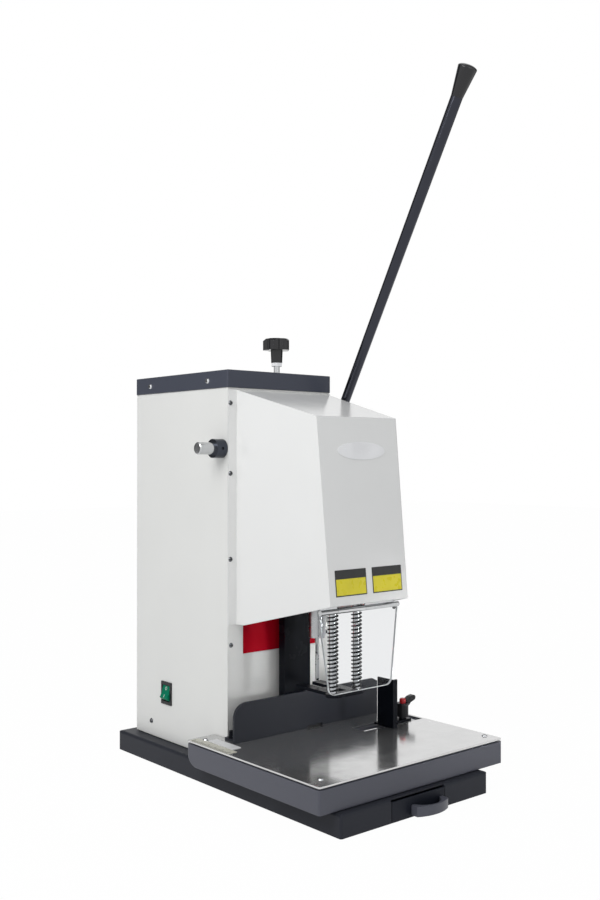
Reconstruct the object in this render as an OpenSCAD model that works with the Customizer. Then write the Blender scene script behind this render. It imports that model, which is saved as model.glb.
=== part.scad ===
// Bench paper drill with one spindle. A flat base with a chip drawer carries a work table and a cabinet.
// A hand lever turns a pinion, whose rack brings the drill head down, and a sprung foot holds the pile.
// Millimetres. X to the operator's right, Y to the rear, Z up. The origin is under the base's middle.

/* [Base] */
// width of the base pan
base_w = 252.2; // [250:0.2:256]
// depth of the base pan
base_d = 478.6; // [476:0.2:490]
// height of the base pan
base_h = 27.5; // [26.5:0.5:30]
// radius of the pan's upper edges
base_edge_r = 4; // [2:0.5:6]
// width of the chip drawer's front
drawer_w = 90.6; // [80:0.2:96]

/* [Table] */
// left edge of the table
table_x0 = -149.9; // [-156:0.1:-146]
// width of the table
table_w = 317.4; // [315:0.1:322]
// reach of the table in front of the cabinet
table_front = 230; // [222:1:234]
// reach of the two wings beside the cabinet
table_wing = 28; // [26:0.5:34]
// height of the painted skirt
skirt_h = 30; // [26:0.5:34]
// thickness of the steel top
plate_t = 2; // [1.5:0.5:3]

/* [Cabinet] */
// left side of the cabinet
cab_x0 = -105.75; // [-107:0.25:-105]
// width of the cabinet
cab_w = 178.2; // [177.5:0.1:178.4]
// depth of the cabinet
cab_d = 223; // [216:1:226]
// height of the cabinet's top, under the cap
cab_top = 517.5; // [515:0.5:520]
// height of the cap
cap_h = 23.5; // [20:0.5:26]

/* [Hood] */
// height of the hood's upper edge at the cabinet
hood_top_z = 515; // [514.5:0.5:517]
// height of the front face's upper edge
hood_brow_z = 476.5; // [474:0.5:480]
// height of the front face's lower edge
hood_lip_z = 244.5; // [243:0.5:246]
// height of the side walls' lower edge at the cabinet
hood_heel_z = 207; // [202:1:212]
// reach of the front face's upper edge
hood_brow_y = 139.3; // [138.5:0.1:141]
// reach of the front face's lower edge
hood_lip_y = 161.5; // [160:0.1:164]
// sheet thickness
sheet_t = 1.5; // [1:0.1:1.5]

/* [Feed] */
// gear module of the rack and pinion
gear_m = 3; // [3:0.1:3]
// teeth on the pinion
pinion_teeth = 30; // [30:1:30]
// height of the cross shaft
shaft_z = 437.5; // [437:0.5:438.5]
// diameter of the cross shaft
shaft_d = 16; // [14:0.5:16]
// lean of the lever from the vertical, towards the operator
lever_lean = 28.9; // [20:0.1:35]
// length of the lever from the shaft to the grip
lever_len = 503; // [450:1:520]

/* [Head] */
// distance of the spindle in front of the cabinet
spindle_y = 62; // [62:0.5:63]
// diameter of the hollow bit
bit_d = 5; // [4:0.5:8]
// height of the bit's tip above the base's underside, head up
bit_tip_z = 132.2; // [131:0.1:134]
// height of the press foot's underside, head up
foot_z = 122.5; // [121:0.5:124]
// outer diameter of the press springs
spring_d = 14.4; // [14:0.2:15.6]
// diameter of the spring wire
wire_d = 1.8; // [1.4:0.1:1.8]

/* [Fence and side guide] */
// height of the fence above the table
fence_h = 50.3; // [40:0.1:54]
// radius of the fence's upper left corner
fence_corner_r = 19; // [10:1:24]
// height of the side guide above the table
guide_h = 65.5; // [50:0.5:70]

/* [Hidden] */
$fn = 48;
fit = 0.05;              // running clearance on a radius
gap = 0.3;               // clearance beside moving parts
wall_t = 2;              // sheet of pan, skirt and cabinet
mat_t = 1;
seat_z = base_h + mat_t;
skirt_top = seat_z + skirt_h;
table_z = skirt_top + plate_t;
table_x1 = table_x0 + table_w;
cab_x1 = cab_x0 + cab_w;
cap_top = cab_top + cap_h;
cap_over = 1.2;          // overhang of the cap all round
notch_x0 = cab_x0 - 1.25;
notch_x1 = cab_x1 + 1.4;

// column and head
head_x = -5;
column_x0 = -27.5;
column_x1 = 17.5;
column_y0 = -22;
column_y1 = -10;
column_top = 503;
carriage_z0 = 235;
carriage_z1 = 330;
housing_z0 = 240;        // lower end of the spindle housing
bar_z0 = 246;            // crossbar that carries the guide posts
bar_z1 = 258;
post_x = [-25.5, 15.6];
post_y = -115.4;
post_d = 9.6;
foot_t = 4;
housing_d = 46;
spindle_d = 12;
bearing_d = 32;
bearing_t = 12;
chuck_d = 22.3;
chuck_z0 = 188.9;
chuck_z1 = 236;
spindle_top = 485;

// rack and pinion
pressure_angle = 20;
pitch_r = gear_m * pinion_teeth / 2;
base_r = pitch_r * cos(pressure_angle);
tip_r = pitch_r + gear_m;
root_r = pitch_r - 1.25 * gear_m;
tooth_pitch = PI * gear_m;
tooth_half = tooth_pitch / 4 - 0.1;
shaft_y = 12;
bush_wall = 2.3;
rack_y = shaft_y - pitch_r;
rack_teeth = 9;
rack_top_tooth = 499.3;
rack_trim_z = 502.8;
gear_x0 = 24;
gear_x1 = 36;
first_gap = (rack_top_tooth - 6 * tooth_pitch - shaft_z) / pitch_r * 180 / PI;

// drive
motor_y = 120;
pulley_z0 = 394;
pulley_z1 = 408;
groove_r = 25;
belt_t = 2.5;

// window in the cabinet's front and the plate behind it
window_x0 = -80.7;
window_x1 = 46.8;
window_z0 = 167;
window_z1 = 500;

// hood: its side walls' slopes in plan, and inner lines a sheet further in
hood_x0 = -93;
hood_x1 = 68;
heel_flat = 14;          // level stretch of the side walls' lower edge, beside the cabinet
hood_in_left = 0.1355;
hood_in_right = 0.032;
roof_slope = (hood_top_z - hood_brow_z) / hood_brow_y;
face_slope = (hood_lip_y - hood_brow_y) / (hood_brow_z - hood_lip_z);
roof_drop = sheet_t * sqrt(1 + roof_slope * roof_slope);
face_shift = sheet_t * sqrt(1 + face_slope * face_slope);

// table slot and clamp
slot_x0 = 54;
slot_x1 = 163;
slot_y = -79.8;
slot_w = 27;
narrow_w = 10;
clamp_x = 137.8;
guide_x = 91.6;
guide_y0 = -107;
guide_y1 = -77;

// fence
fence_x0 = -116;
fence_x1 = 139;
fence_y = -28.5;
fence_t = 3.5;
fence_screw_x = [-107, 55];
fence_screw_y = -11;
fence_travel = 6;

// guard
guard_y0 = -132.5;
guard_t = 2.5;
guard_z0 = 129;
guard_corner_r = 10;
hinge_y = -136.5;
hinge_z = 234.2;
hinge_d = 7;             // the three lengths of its barrel
hinge_pin_d = 4;
hinge_x = [-66, -38.2, 9.2, 70];

// switch on the left side
switch_y0 = 130.6;
switch_y1 = 155.6;
switch_z0 = 79;
switch_z1 = 110.5;
switch_y = (switch_y0 + switch_y1) / 2;
switch_z = (switch_z0 + switch_z1) / 2;
switch_lap_y = 1.5;      // how far the bezel laps over its cut-out
switch_lap_z = 3;
switch_frame = 3.4;      // width of the bezel beside the rocker
rocker_x = cab_x0 + 3;
rocker_r = 11;

// depth stop
knob_x = -17;
knob_y = 8;

// ---- shared shapes ----

module slab(x0, x1, y0, y1, z0, z1) {
  translate([x0, y0, z0]) cube([x1 - x0, y1 - y0, z1 - z0]);
}

module rod_x(x0, x1, y, z, d) {
  translate([x0, y, z]) rotate([0, 90, 0]) cylinder(h = x1 - x0, d = d);
}

module rod_y(x, y0, y1, z, d) {
  translate([x, y0, z]) rotate([-90, 0, 0]) cylinder(h = y1 - y0, d = d);
}

module rod_z(x, y, z0, z1, d) {
  translate([x, y, z0]) cylinder(h = z1 - z0, d = d);
}

// a 2-D shape drawn in Y and Z, pulled along X
module along_x(x0, x1) {
  translate([x0, 0, 0]) rotate([90, 0, 90]) linear_extrude(x1 - x0) children();
}

// a 2-D shape drawn in X and Z, pulled along Y
module along_y(y0, y1) {
  translate([0, y1, 0]) rotate([90, 0, 0]) linear_extrude(y1 - y0) children();
}

// rectangle from (x0, y0) to (x1, y1) whose corners are round
module round_rect(x0, x1, y0, y1, r) {
  translate([x0 + r, y0]) square([x1 - x0 - 2 * r, y1 - y0]);
  translate([x0, y0 + r]) square([x1 - x0, y1 - y0 - 2 * r]);
  for (x = [x0 + r, x1 - r], y = [y0 + r, y1 - r]) {
    translate([x, y]) circle(r);
  }
}

// rectangle with only its two upper corners round
module round_top(x0, x1, y0, y1, r) {
  translate([x0, y0]) square([x1 - x0, y1 - y0 - r]);
  translate([x0 + r, y0]) square([x1 - x0 - 2 * r, y1 - y0]);
  for (x = [x0 + r, x1 - r]) {
    translate([x, y1 - r]) circle(r);
  }
}

// pressed box: round upper edges and round upright corners
module pressed_box(x0, x1, y0, y1, z0, z1, edge_r, corner_r) {
  intersection() {
    along_y(y0, y1) round_top(x0, x1, z0, z1, edge_r);
    along_x(x0, x1) round_top(y0, y1, z0, z1, edge_r);
    translate([0, 0, z0]) linear_extrude(z1 - z0) round_rect(x0, x1, y0, y1, corner_r);
  }
}

// low round head of a screw, standing on z = 0
module screw_head(d, h) {
  cylinder(h = h, d1 = d, d2 = d * 0.7);
}

// ---- base ----

module base_pan() {
  hx = base_w / 2;
  hy = base_d / 2;
  slot = drawer_w / 2 + 1;
  rail_t = 2;
  drawer_room = 160;
  color("#3b3e46") {
    difference() {
      pressed_box(-hx, hx, -hy, hy, 0, base_h, base_edge_r, 3);
      slab(-hx + wall_t, hx - wall_t, -hy + wall_t, hy - wall_t, wall_t, base_h - wall_t);
      slab(-slot, slot, -hy - 1, -hy + wall_t + 1, wall_t, base_h + 1);
    }
    for (x = [-slot - rail_t, slot]) {
      slab(x, x + rail_t, -hy + wall_t, -hy + drawer_room, wall_t, base_h - wall_t);
    }
    slab(-slot - rail_t, slot + rail_t, -hy + drawer_room, -hy + drawer_room + rail_t,
         wall_t, base_h - wall_t);
  }
}

module base_mat() {
  color("#1c1d20") difference() {
    slab(-104, 110, -224, 217, base_h, seat_z);
    slab(column_x0 - 1, column_x1 + 1, column_y0 - 1, column_y1 + 1, base_h - 1, seat_z + 1);
  }
}

module chip_drawer() {
  hy = base_d / 2;
  half = drawer_w / 2;
  tray_half = half - 2;
  tray_d = 146;
  front_t = 2;
  z0 = wall_t + gap;
  tray_top = 21;
  color("#3b3e46") {
    difference() {
      slab(-tray_half, tray_half, -hy + front_t - 0.5, -hy + tray_d, z0, tray_top);
      slab(-tray_half + 1.5, tray_half - 1.5, -hy + front_t, -hy + tray_d - 1.5, z0 + 1.5, tray_top + 1);
    }
    slab(-half, half, -hy, -hy + front_t, z0, 24);
  }
}

module drawer_pull() {
  face = -base_d / 2;
  x = 14;
  half = 27;
  end_reach = 10;
  reach = 17;
  z0 = 2.5;
  z1 = 14.5;
  floor_t = 3;
  bow = reach - end_reach;
  bow_r = (half * half + bow * bow) / (2 * bow);
  // the finger recess is a shallower arc that meets the drawer's front inside the pull's ends
  recess_half = 22;
  recess = reach - 2.4;
  recess_r = (recess_half * recess_half + recess * recess) / (2 * recess);
  color("#43464f") difference() {
    intersection() {
      translate([x, face - reach + bow_r, z0]) cylinder(h = z1 - z0, r = bow_r, $fn = 96);
      slab(x - half, x + half, face - reach - 1, face, z0, z1);
    }
    intersection() {
      translate([x, face - recess + recess_r, z0 + floor_t]) cylinder(h = z1, r = recess_r, $fn = 96);
      slab(x - half, x + half, face - reach - 1, face + 1, z0, z1 + 1);
    }
  }
}

// ---- table ----

// plan of the table, each edge drawn in by d
module table_plan(d) {
  difference() {
    round_rect(table_x0 + d, table_x1 - d, -table_front + d, table_wing - d, 3);
    translate([notch_x0 - d, -1 - d]) square([notch_x1 - notch_x0 + 2 * d, table_wing + 2]);
  }
}

module column_hole(z0, z1) {
  slab(column_x0 - 1, column_x1 + 1, column_y0 - 1, column_y1 + 1, z0, z1);
}

module table_skirt() {
  shadow = 2;
  shadow_in = 3;
  deck_t = 3;
  wing_r = 20;
  foot_r = 3;
  color("#43464f") {
    difference() {
      intersection() {
        union() {
          translate([0, 0, seat_z]) linear_extrude(skirt_h - shadow) table_plan(0);
          translate([0, 0, seat_z]) linear_extrude(skirt_h) table_plan(shadow_in);
        }
        along_x(table_x0, table_x1) {
          translate([-table_front, seat_z]) square([table_front + table_wing - wing_r, skirt_h]);
          translate([-table_front, seat_z + wing_r]) square([table_front + table_wing, skirt_h - wing_r]);
          translate([table_wing - wing_r, seat_z + wing_r]) circle(wing_r);
        }
      }
      translate([0, 0, seat_z - 1]) linear_extrude(skirt_h - deck_t + 1) table_plan(wall_t);
      column_hole(seat_z, table_z);
      slab(slot_x0, slot_x1 - 4, slot_y - narrow_w / 2, slot_y + narrow_w / 2, seat_z, table_z);
    }
    for (x = [-100, 56]) {
      slab(x, x + foot_r, -table_front + wall_t, -1 - wall_t, seat_z, skirt_top - deck_t);
    }
  }
}

module table_top() {
  color("#c9cbcd") difference() {
    translate([0, 0, skirt_top]) linear_extrude(plate_t) table_plan(0);
    column_hole(skirt_top - 1, table_z + 1);
    slab(slot_x0, slot_x1, slot_y - slot_w / 2, slot_y + slot_w / 2, skirt_top - 1, table_z + 1);
  }
}

module table_screws() {
  front_y = -209;
  wing_y = 12.3;
  color("#9fa2a6") for (p = [[-131.6, wing_y], [-129.5, front_y], [157.8, front_y], [150, wing_y]]) {
    translate([p[0], p[1], table_z]) screw_head(8, 1.6);
  }
}

module scale_plate() {
  x0 = -133.8;
  x1 = -119.6;
  y0 = -47;
  y1 = 4;
  t = 0.8;
  color("#d8d9d6") slab(x0, x1, y0, y1, table_z, table_z + t);
}

// ---- fence and side guide ----

module fence() {
  z1 = table_z + fence_h;
  foot_x0 = -111.6;
  foot_y1 = -1.8;
  foot_t = 3;
  slot_half = 2.3;
  color("#3f424a") {
    difference() {
      along_y(fence_y, fence_y + fence_t) difference() {
        union() {
          translate([fence_x0, table_z]) square([fence_x1 - fence_x0, fence_h - fence_corner_r]);
          translate([fence_x0 + fence_corner_r, table_z])
            square([fence_x1 - fence_x0 - fence_corner_r, fence_h]);
          translate([fence_x0 + fence_corner_r, z1 - fence_corner_r]) circle(fence_corner_r);
        }
        polygon([[130, z1 + 0.01], [fence_x1 + 0.01, z1 - 4.2], [fence_x1 + 0.01, z1 + 0.01]]);
      }
      slab(7, 34, fence_y - 1, fence_y + fence_t + 1, table_z - 1, table_z + 3);
    }
    difference() {
      union() {
        slab(foot_x0, -32, fence_y + fence_t - 0.5, foot_y1, table_z, table_z + foot_t);
        slab(34, 135, fence_y + fence_t - 0.5, foot_y1, table_z, table_z + foot_t);
      }
      for (x = fence_screw_x) {
        for (y = [fence_screw_y, fence_screw_y + fence_travel]) {
          rod_z(x, y, table_z - 1, table_z + foot_t + 1, 2 * slot_half);
        }
        slab(x - slot_half, x + slot_half, fence_screw_y, fence_screw_y + fence_travel,
             table_z - 1, table_z + foot_t + 1);
      }
    }
  }
}

// thumb screws that clamp the fence's foot
module fence_screws() {
  foot_top = table_z + 3;
  thread_d = 4;
  washer_d = 9;
  head_d = 7.6;
  head_h = 8;
  socket_d = 4.6;
  color("#25262a") for (x = fence_screw_x) {
    rod_z(x, fence_screw_y, table_z, foot_top + 0.5, thread_d);
    rod_z(x, fence_screw_y, foot_top + 0.1, foot_top + 1.1, washer_d);
    difference() {
      rod_z(x, fence_screw_y, foot_top + 1, foot_top + 1 + head_h, head_d);
      rod_z(x, fence_screw_y, foot_top + 6, foot_top + 2 + head_h, socket_d, $fn = 6);
    }
  }
}

module side_guide() {
  t = 2.5;
  flange = 8;
  top = table_z + guide_h;
  tongue_y0 = slot_y - 9;
  tongue_y1 = slot_y + 9;
  color("#2a2c31") {
    slab(guide_x, guide_x + t, guide_y0, guide_y1, table_z, top);
    slab(guide_x, guide_x + flange, guide_y0, guide_y0 + t, table_z, top);
    difference() {
      slab(guide_x, clamp_x + 8, tongue_y0, tongue_y1, table_z, table_z + t);
      rod_z(clamp_x, slot_y, table_z - 1, table_z + t + 1, 8);
    }
  }
}

// block that rides in the wide slot, with its nut plate under the deck
module guide_slide() {
  half = slot_w / 2 - gap;
  deck_under = skirt_top - 3;
  color("#8d9094") difference() {
    union() {
      slab(clamp_x - 20, clamp_x + 12.5, slot_y - half, slot_y + half, skirt_top, table_z);
      slab(clamp_x - 14, clamp_x + 8, slot_y - narrow_w / 2 + gap, slot_y + narrow_w / 2 - gap,
           deck_under - 1, skirt_top + 1);
      slab(clamp_x - 16, clamp_x + 12, slot_y - 11, slot_y + 11, deck_under - 5, deck_under - gap);
    }
    rod_z(clamp_x, slot_y, deck_under - 6, table_z + 1, 8);
  }
}

// the clamp's heights above the table
hub_z0 = table_z + 2.5;
hub_neck_z1 = table_z + 5;
hub_z1 = table_z + 23.6;
hub_d = 16.5;
stud_d = 8;
stud_top = table_z + 10;
button_d = 8.8;
button_z0 = table_z + 17;
button_z1 = table_z + 30;

module clamp_stud() {
  color("#8d9094") rod_z(clamp_x, slot_y, skirt_top - 8, stud_top, stud_d);
}

module clamp_hub() {
  neck_d = 10.4;
  color("#26272b") difference() {
    union() {
      rod_z(clamp_x, slot_y, hub_z0, hub_neck_z1, neck_d);
      rod_z(clamp_x, slot_y, hub_neck_z1, hub_z1, hub_d);
    }
    rod_z(clamp_x, slot_y, hub_z0 - 1, stud_top + 0.1, stud_d + 2 * fit);
    rod_z(clamp_x, slot_y, button_z0 - 4, hub_z1 + 1, button_d + 2 * fit);
  }
}

// cranked arm that rises from the hub's edge to a round tip
module clamp_arm() {
  arm_t = 7;
  tip_x = 19;
  tip_z = hub_z1 + 5;
  tip_r = 3.6;
  color("#26272b") {
    difference() {
      along_y(slot_y - arm_t / 2, slot_y + arm_t / 2) translate([clamp_x, hub_z1])
        polygon([[5, -4], [9.5, -4.6], [13, -0.8], [tip_x + 1, 5 - tip_r], [tip_x, 5 + tip_r],
                 [12, 7.4], [button_d / 2 + 0.5, 3.6]]);
      rod_z(clamp_x, slot_y, hub_z0, hub_z1, hub_d);
    }
    rod_y(clamp_x + tip_x, slot_y - arm_t / 2, slot_y + arm_t / 2, tip_z, 2 * tip_r);
  }
}

module clamp_button() {
  crown = 1.6;
  color("#d2232b") {
    rod_z(clamp_x, slot_y, button_z0, button_z1 - crown, button_d);
    translate([clamp_x, slot_y, button_z1 - crown]) cylinder(h = crown, d1 = button_d, d2 = button_d - 2.6);
  }
}

// ---- cabinet ----

module cabinet_shell() {
  color("#eceded") difference() {
    slab(cab_x0, cab_x1, 0, cab_d, seat_z, cab_top);
    slab(cab_x0 + wall_t, cab_x1 - wall_t, -1, cab_d + 1, seat_z + wall_t, cab_top - wall_t);
    rod_x(cab_x0 - 1, cab_x1 + 1, shaft_y, shaft_z, shaft_d + 2 * bush_wall);
    slab(cab_x0 - 1, cab_x0 + wall_t + 1, switch_y0 + switch_lap_y, switch_y1 - switch_lap_y,
         switch_z0 + switch_lap_z, switch_z1 - switch_lap_z);
  }
}

module front_panel() {
  t = 1.5;
  color("#e4e6e6") difference() {
    slab(cab_x0 + wall_t, cab_x1 - wall_t, 0, t, seat_z + wall_t, cab_top - wall_t);
    slab(window_x0, window_x1, -1, t + 1, window_z0, window_z1);
  }
}

module rear_panel() {
  t = 2;
  inlet_x = -40;
  inlet_z = 84;
  vents = 9;
  color("#e4e6e6") difference() {
    slab(cab_x0 + wall_t, cab_x1 - wall_t, cab_d - t, cab_d, seat_z + wall_t, cab_top - wall_t);
    slab(inlet_x - 14, inlet_x + 14, cab_d - t - 1, cab_d + 1, inlet_z - 10, inlet_z + 10);
    for (i = [0 : vents - 1]) {
      slab(-57, 23, cab_d - t - 1, cab_d + 1, 300 + 12 * i, 304 + 12 * i);
    }
  }
}

module back_plate() {
  y0 = 1.5;
  t = 2;
  color("#b3272d") difference() {
    slab(window_x0 - 10, window_x1 + 10, y0, y0 + t, window_z0 - 17, window_z1 + 5);
    slab(-37, gear_x1 + 4, y0 - 1, y0 + t + 1, 388, 491);
  }
}

module cabinet_screws() {
  side_y = 183;
  side_z = 48.7;
  color("#b8babd") {
    translate([cab_x0, side_y, side_z]) rotate([0, -90, 0]) screw_head(7, 1.8);
    translate([cab_x1, side_y, side_z]) rotate([0, 90, 0]) screw_head(7, 1.8);
    for (x = [-100.2, 65]) {
      translate([x, 0, 180.6]) rotate([90, 0, 0]) screw_head(6.5, 1.6);
    }
    for (x = [-98, 63], z = [45, 270, 500]) {
      translate([x, cab_d, z]) rotate([-90, 0, 0]) screw_head(6.5, 1.6);
    }
  }
}

module cap() {
  color("#3d4250") difference() {
    pressed_box(cab_x0 - cap_over, cab_x1 + cap_over, -cap_over, cab_d + cap_over, cab_top, cap_top, 2, 2);
    slab(cab_x0 + 2, cab_x1 - 2, 2, cab_d - 2, cab_top - 1, cap_top - 3);
    rod_z(knob_x, knob_y, cap_top - 4, cap_top + 1, 8 + 2 * fit);
  }
}

module cap_screws() {
  z = cab_top + 10.5;
  color("#d5d7da") for (y = [44, 185.5]) {
    translate([cab_x0 - cap_over, y, z]) rotate([0, -90, 0]) screw_head(7.5, 2);
    translate([cab_x1 + cap_over, y, z]) rotate([0, 90, 0]) screw_head(7.5, 2);
  }
}

module switch_bezel() {
  rim = 1.8;
  depth = 16;
  color("#17181a") difference() {
    union() {
      slab(cab_x0 - rim, cab_x0, switch_y0, switch_y1, switch_z0, switch_z1);
      slab(cab_x0, cab_x0 + depth, switch_y0 + switch_lap_y, switch_y1 - switch_lap_y,
           switch_z0 + switch_lap_z, switch_z1 - switch_lap_z);
    }
    slab(cab_x0 - rim - 1, cab_x0 + depth - 1.5, switch_y0 + switch_frame, switch_y1 - switch_frame,
         switch_z - rocker_r - gap, switch_z + rocker_r + gap);
    rod_y(rocker_x, switch_y0 + switch_frame - 0.9, switch_y1 - switch_frame + 0.9, switch_z, 3 + 2 * fit);
  }
}

// rocker: a drum section whose outer face is a shallow V
module switch_rocker() {
  half_y = (switch_y1 - switch_y0) / 2 - switch_frame - gap;
  color("#35b86b") translate([0, 0, switch_z]) along_y(switch_y - half_y, switch_y + half_y) intersection() {
    translate([rocker_x, 0]) circle(rocker_r);
    polygon([[rocker_x + 4, -12], [rocker_x + 4, 12], [rocker_x - 3, 12],
             [rocker_x - 6.2, 0], [rocker_x - 9.6, -6], [rocker_x - 9, -12]]);
  }
  color("#35b86b") rod_y(rocker_x, switch_y - half_y - 0.9, switch_y + half_y + 0.9, switch_z, 3);
}

// appliance inlet in the rear panel
module power_inlet() {
  x = -40;
  z = 84;
  color("#1a1b1d") {
    difference() {
      union() {
        slab(x - 24, x + 24, cab_d, cab_d + 2.5, z - 12, z + 12);
        slab(x - 14, x + 14, cab_d - 16, cab_d, z - 10, z + 10);
      }
      slab(x - 12, x + 12, cab_d - 14, cab_d + 3, z - 8, z + 8);
    }
    for (dx = [-7, 0, 7]) {
      slab(x + dx - 1, x + dx + 1, cab_d - 15, cab_d - 2, z - 2, z + 2);
    }
  }
}

// ---- depth stop ----

// heights above the cap
nut_z0 = cap_top + 9;
neck_z0 = cap_top + 14;
lobe_z0 = cap_top + 31;
knob_z1 = cap_top + 46.5;

// five-lobed knob on a neck, its crown bevelled all round
module depth_knob() {
  lobes = 5;
  knob_d = 37.6;
  lobe_r = 7.4;
  bevel = 3;
  color("#1b1c1f") translate([knob_x, knob_y, 0]) difference() {
    union() {
      translate([0, 0, neck_z0]) cylinder(h = lobe_z0 - neck_z0, d1 = 15.3, d2 = 16.6);
      intersection() {
        translate([0, 0, lobe_z0]) linear_extrude(knob_z1 - lobe_z0) {
          circle(knob_d / 2 - 4);
          for (i = [0 : lobes - 1]) {
            rotate(i * 360 / lobes) translate([knob_d / 2 - lobe_r, 0]) circle(lobe_r);
          }
        }
        translate([0, 0, knob_z1 - 24]) cylinder(h = 24, d1 = knob_d + 42, d2 = knob_d - 2 * bevel);
      }
    }
    translate([0, 0, neck_z0 - 1]) cylinder(h = 23, d = 8);
  }
}

module knob_stud() {
  color("#c2c4c7") rod_z(knob_x, knob_y, cap_top - 12, neck_z0 + 22, 8);
}

module knob_nut() {
  color("#c2c4c7") difference() {
    rod_z(knob_x, knob_y, nut_z0, neck_z0, 15, $fn = 6);
    rod_z(knob_x, knob_y, nut_z0 - 1, neck_z0 + 1, 8);
  }
}

// ---- column ----

module column() {
  color("#17181b") slab(column_x0, column_x1, column_y0, column_y1, base_h, column_top);
}

module column_blocks() {
  color("#17181b") {
    slab(-15, 5, column_y1, 0, 70, 100);
    slab(-15, 5, column_y1, 1.5, 493, 499.5);
  }
}

// ---- hood ----

// the hood's body, or with inset the space inside it
module hood_solid(inset) {
  roof = inset ? roof_drop : 0;
  face = inset ? face_shift : 0;
  side = inset ? sheet_t : 0;
  y_far = inset ? 1 : 0;
  top_z = hood_top_z - roof;
  // the roof line and the face line meet at the brow
  brow_dy = (hood_brow_y - face + face_slope * (hood_brow_z - top_z)) / (1 - face_slope * roof_slope);
  brow_z = top_z - roof_slope * brow_dy;
  low_z = hood_heel_z - 40;
  lip_y = hood_lip_y - face;
  low_y = hood_brow_y - face + face_slope * (hood_brow_z - low_z);
  intersection() {
    along_x(-120, 100) {
      if (inset) {
        polygon([[y_far, low_z], [-low_y, low_z], [-brow_dy, brow_z], [y_far, top_z + roof_slope * y_far]]);
      } else {
        polygon([[0, hood_heel_z], [-heel_flat, hood_heel_z], [-lip_y, hood_lip_z],
                 [-hood_brow_y, hood_brow_z], [0, hood_top_z]]);
      }
    }
    translate([0, 0, low_z - 1]) linear_extrude(hood_top_z - low_z + 2)
      polygon([[hood_x0 + side - y_far * hood_in_left, y_far],
               [hood_x0 + side + hood_in_left * 200, -200],
               [hood_x1 - side - hood_in_right * 200, -200],
               [hood_x1 - side + y_far * hood_in_right, y_far]]);
  }
}

module hood() {
  color("#eef0f1") {
    difference() {
      hood_solid(false);
      hood_solid(true);
    }
    slab(cab_x0, hood_x0 + sheet_t, -sheet_t, 0, hood_heel_z, hood_top_z);
    slab(hood_x1 - sheet_t, cab_x1, -sheet_t, 0, hood_heel_z, hood_top_z);
  }
}

module hood_screws() {
  flange_x = -102.4;
  color("#b8babd") for (z = [293, 405, 497]) {
    translate([flange_x, -sheet_t, z]) rotate([90, 0, 0]) screw_head(6.5, 1.6);
  }
}

// ---- guard ----

// clear sheet, its upper half widening, with the middle length of the hinge's barrel
module guard() {
  x0 = -48;
  x1 = 63.5;
  upper_x0 = -65;
  upper_x1 = 74.5;
  z1 = hinge_z + 1.7;
  r = guard_corner_r;
  leaf_drop = 3;
  barrel_x0 = hinge_x[1] + gap;
  barrel_x1 = hinge_x[2] - gap;
  color("#e3eaee", 0.35) {
    along_y(guard_y0, guard_y0 + guard_t) {
      polygon([[upper_x0, z1], [x0, guard_z0 + r], [x1, guard_z0 + r], [upper_x1, z1]]);
      translate([x0 + r, guard_z0]) square([x1 - x0 - 2 * r, r + 1]);
      for (x = [x0 + r, x1 - r]) {
        translate([x, guard_z0 + r]) circle(r);
      }
    }
    difference() {
      union() {
        rod_x(barrel_x0, barrel_x1, hinge_y, hinge_z, hinge_d);
        slab(barrel_x0, barrel_x1, hinge_y, guard_y0 + 0.5, hinge_z - leaf_drop, z1);
      }
      rod_x(barrel_x0 - 1, barrel_x1 + 1, hinge_y, hinge_z, hinge_pin_d + 2 * fit);
    }
  }
}

// hinge pin
module guard_rod() {
  color("#c2c4c7") rod_x(hinge_x[0], hinge_x[3], hinge_y, hinge_z, hinge_pin_d);
}

// the hinge's fixed leaf: a bar inside the hood and the two outer lengths of the barrel
module guard_brackets() {
  bar_z = 247;
  bar_t = 3;
  leaf_t = 2;
  leaf_end = 61.5;
  color("#b9bbbe") {
    difference() {
      union() {
        rod_x(hinge_x[0], hinge_x[1], hinge_y, hinge_z, hinge_d);
        rod_x(hinge_x[2], hinge_x[3], hinge_y, hinge_z, hinge_d);
        slab(hinge_x[0], hinge_x[1], hinge_y - leaf_t / 2, hinge_y + leaf_t / 2, hinge_z, bar_z + 1);
        slab(hinge_x[2], leaf_end, hinge_y - leaf_t / 2, hinge_y + leaf_t / 2, hinge_z, bar_z + 1);
      }
      rod_x(hinge_x[0] - 1, hinge_x[3] + 1, hinge_y, hinge_z, hinge_pin_d);
    }
    intersection() {
      slab(-100, 100, hinge_y - 10, hinge_y + 4, bar_z, bar_z + bar_t);
      hood_solid(true);
    }
  }
}

// ---- feed ----

module feed_shaft() {
  color("#b9bbbe") {
    rod_x(-145, 84, shaft_y, shaft_z, shaft_d);
    translate([-145, shaft_y, shaft_z]) rotate([0, -90, 0]) cylinder(h = 1, d1 = shaft_d, d2 = shaft_d - 2);
  }
}

module shaft_bushes() {
  t = 10;
  color("#b08a45") for (x = [cab_x0, cab_x1 - t]) {
    difference() {
      rod_x(x, x + t, shaft_y, shaft_z, shaft_d + 2 * bush_wall);
      rod_x(x - 1, x + t + 1, shaft_y, shaft_z, shaft_d + 2 * fit);
    }
  }
}

module shaft_collar() {
  x0 = -121.7;
  x1 = cab_x0 - gap;
  color("#a9abae") difference() {
    rod_x(x0, x1, shaft_y, shaft_z, 25);
    rod_x(x0 - 1, x1 + 1, shaft_y, shaft_z, shaft_d);
    rod_y((x0 + x1) / 2, shaft_y - 13, shaft_y - 7, shaft_z, 4);
  }
}

// turns children so that local Z points along the lever
module on_lever(x) {
  translate([x, shaft_y, shaft_z]) rotate([lever_lean, 0, 0]) children();
}

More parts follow.
